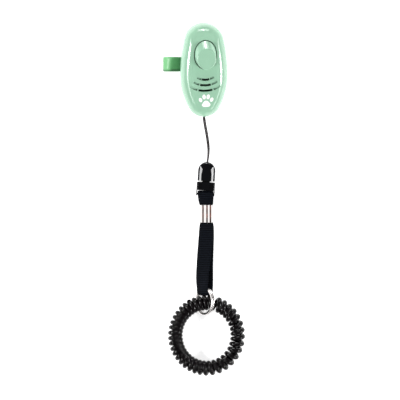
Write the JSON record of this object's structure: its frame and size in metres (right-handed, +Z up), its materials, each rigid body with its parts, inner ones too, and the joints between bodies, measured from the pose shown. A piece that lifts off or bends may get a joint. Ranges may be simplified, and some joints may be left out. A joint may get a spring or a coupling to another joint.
{
  "type": "clicker trainer",
  "caption": "Egg-shaped training clicker with a thumb button and finger band, on a cord lanyard with a quick-release buckle, webbing strap, split ring and curly wrist coil.",
  "frame": {"origin": "on the table, at the middle of the box of the whole laid-out object without its thin cord", "axes": "+Z up from the table, +Y along the lanyard towards the clicker's button end, +X to the right seen from above"},
  "size_m": [0.058, 0.2458, 0.0396],
  "materials": {
    "shell_plastic": "glossy mint green moulded plastic",
    "button_plastic": "satin mint green moulded plastic",
    "inner_plastic": "plain moulded plastic",
    "band_rubber": "soft satin green elastomer",
    "spring_steel": "blue-grey spring strip",
    "screw_steel": "zinc plated",
    "cord_nylon": "twisted black nylon",
    "buckle_plastic": "glossy black moulded plastic",
    "webbing": "black ribbed webbing",
    "crimp_nickel": "bright nickel plate",
    "ring_nickel": "nickel plate",
    "coil_plastic": "glossy black flexible plastic",
    "print_white": "white pad print"
  },
  "bodies": {
    "case": {"front_shell": "shell_plastic", "back_shell": "shell_plastic", "shell_screws": "screw_steel", "lug_pin": "screw_steel", "leaf_foot": "spring_steel", "leaf_clamp": "spring_steel", "clamp_screws": "screw_steel", "finger_band": "band_rubber", "band_retainer": "inner_plastic"},
    "button": {"button": "button_plastic"},
    "leaf": {"click_leaf": "spring_steel"},
    "lanyard": {"lanyard_cord": "cord_nylon", "cord_ferrule": "ring_nickel", "buckle_plug": "buckle_plastic"},
    "socket": {"buckle_socket": "buckle_plastic"},
    "strap": {"strap": "webbing", "crimp": "crimp_nickel"},
    "ring": {"split_ring": "ring_nickel"},
    "coil": {"wrist_coil": "coil_plastic"}
  },
  "joints": [
    {"name": "button_press", "type": "slide", "parent": "case", "child": "button", "axis": [-0.1219, 0.3395, -0.9327], "range_m": [0, 0.002], "stiffness_N_per_m": 600, "springref_m": -0.0004},
    {"name": "leaf_flex", "type": "hinge", "parent": "case", "child": "leaf", "pos_m": [-0.00084, 0.08361, 0.01261], "axis": [-0.9925, -0.0417, 0.1145], "range_deg": [0, 5]},
    {"name": "lanyard_swing", "type": "hinge", "parent": "case", "child": "lanyard", "pos_m": [-0.00042, 0.06327, 0.00888], "axis": [0, 0, 1], "range_deg": [-25, 25]},
    {"name": "buckle_release", "type": "slide", "parent": "lanyard", "child": "socket", "axis": [-0.061, -0.9981, 0], "range_m": [0, 0.012]},
    {"name": "strap_pivot", "type": "hinge", "parent": "socket", "child": "strap", "pos_m": [0.00063, 0.00412, 0.003], "axis": [-1, 0, 0], "range_deg": [0, 85]},
    {"name": "ring_swing", "type": "hinge", "parent": "strap", "child": "ring", "pos_m": [0.0003, -0.062, 0.0086], "axis": [-0.7071, 0, -0.7071], "range_deg": [0, 60]},
    {"name": "coil_spin", "type": "hinge", "parent": "ring", "child": "coil", "pos_m": [0.0015, -0.0946, 0.0068], "axis": [0, -0.0796, 0.9968], "continuous": true}
  ],
  "couplings": [
    {"joint": "leaf_flex", "follows": "button_press", "rad_per_m": 43.29}
  ]
}
